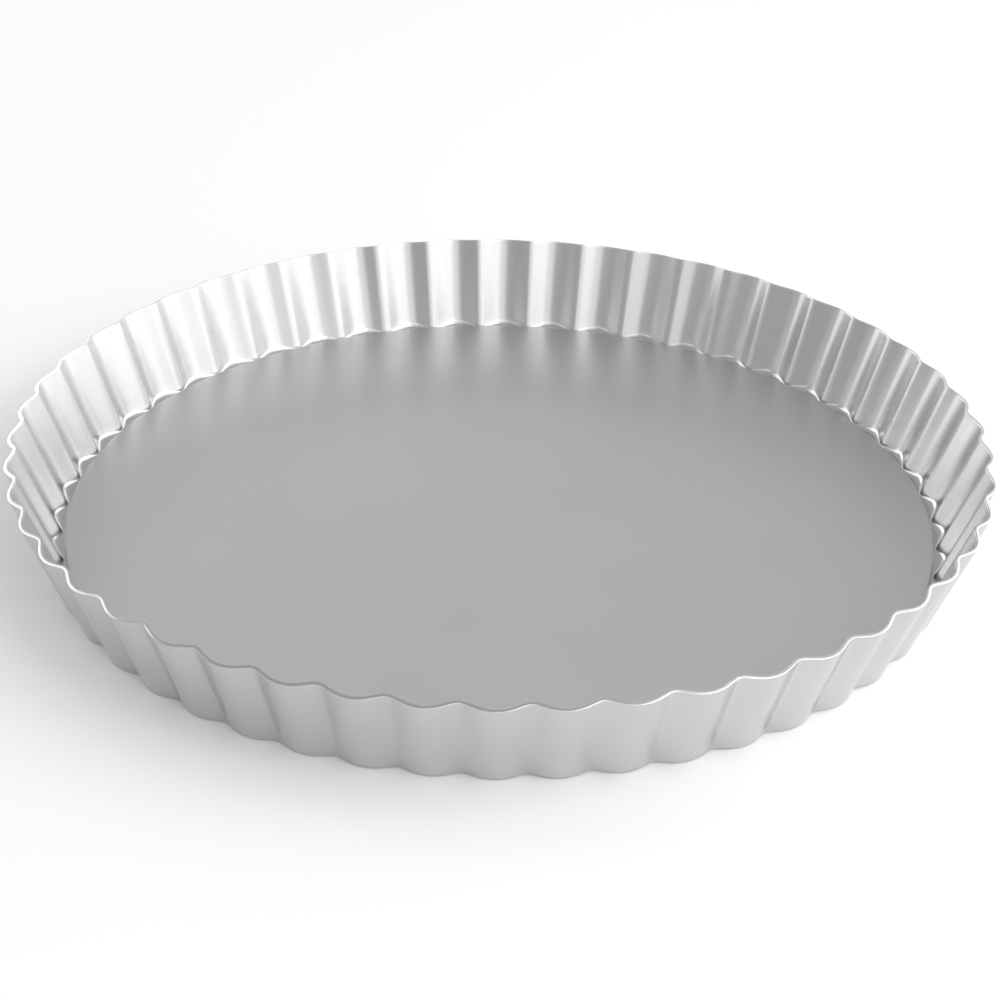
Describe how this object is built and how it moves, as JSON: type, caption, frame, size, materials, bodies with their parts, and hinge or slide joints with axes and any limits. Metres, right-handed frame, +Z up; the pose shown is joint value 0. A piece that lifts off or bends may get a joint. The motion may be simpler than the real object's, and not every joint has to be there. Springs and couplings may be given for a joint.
{
  "type": "tart pan",
  "caption": "Round fluted tart pan with a flared scalloped ring, an inward ledge and a flat loose base that lifts out.",
  "frame": {"origin": "on the pan's axis, at the level of the surface that the ring stands on", "axes": "+Z up along the pan's axis, out of its mouth; a ridge of the fluted wall lies on +X"},
  "size_m": [0.2534, 0.254, 0.026],
  "materials": {
    "anodised_ring": "satin anodised, pressed sheet with a cut edge",
    "anodised_base": "satin anodised, flat sheet with a rounded cut edge"
  },
  "bodies": {
    "ring": {"fluted_ring": "anodised_ring"},
    "base": {"loose_base": "anodised_base"}
  },
  "joints": [
    {"name": "base_lift", "type": "slide", "parent": "ring", "child": "base", "axis": [0, 0, 1], "range_m": [0, 0.045]}
  ]
}
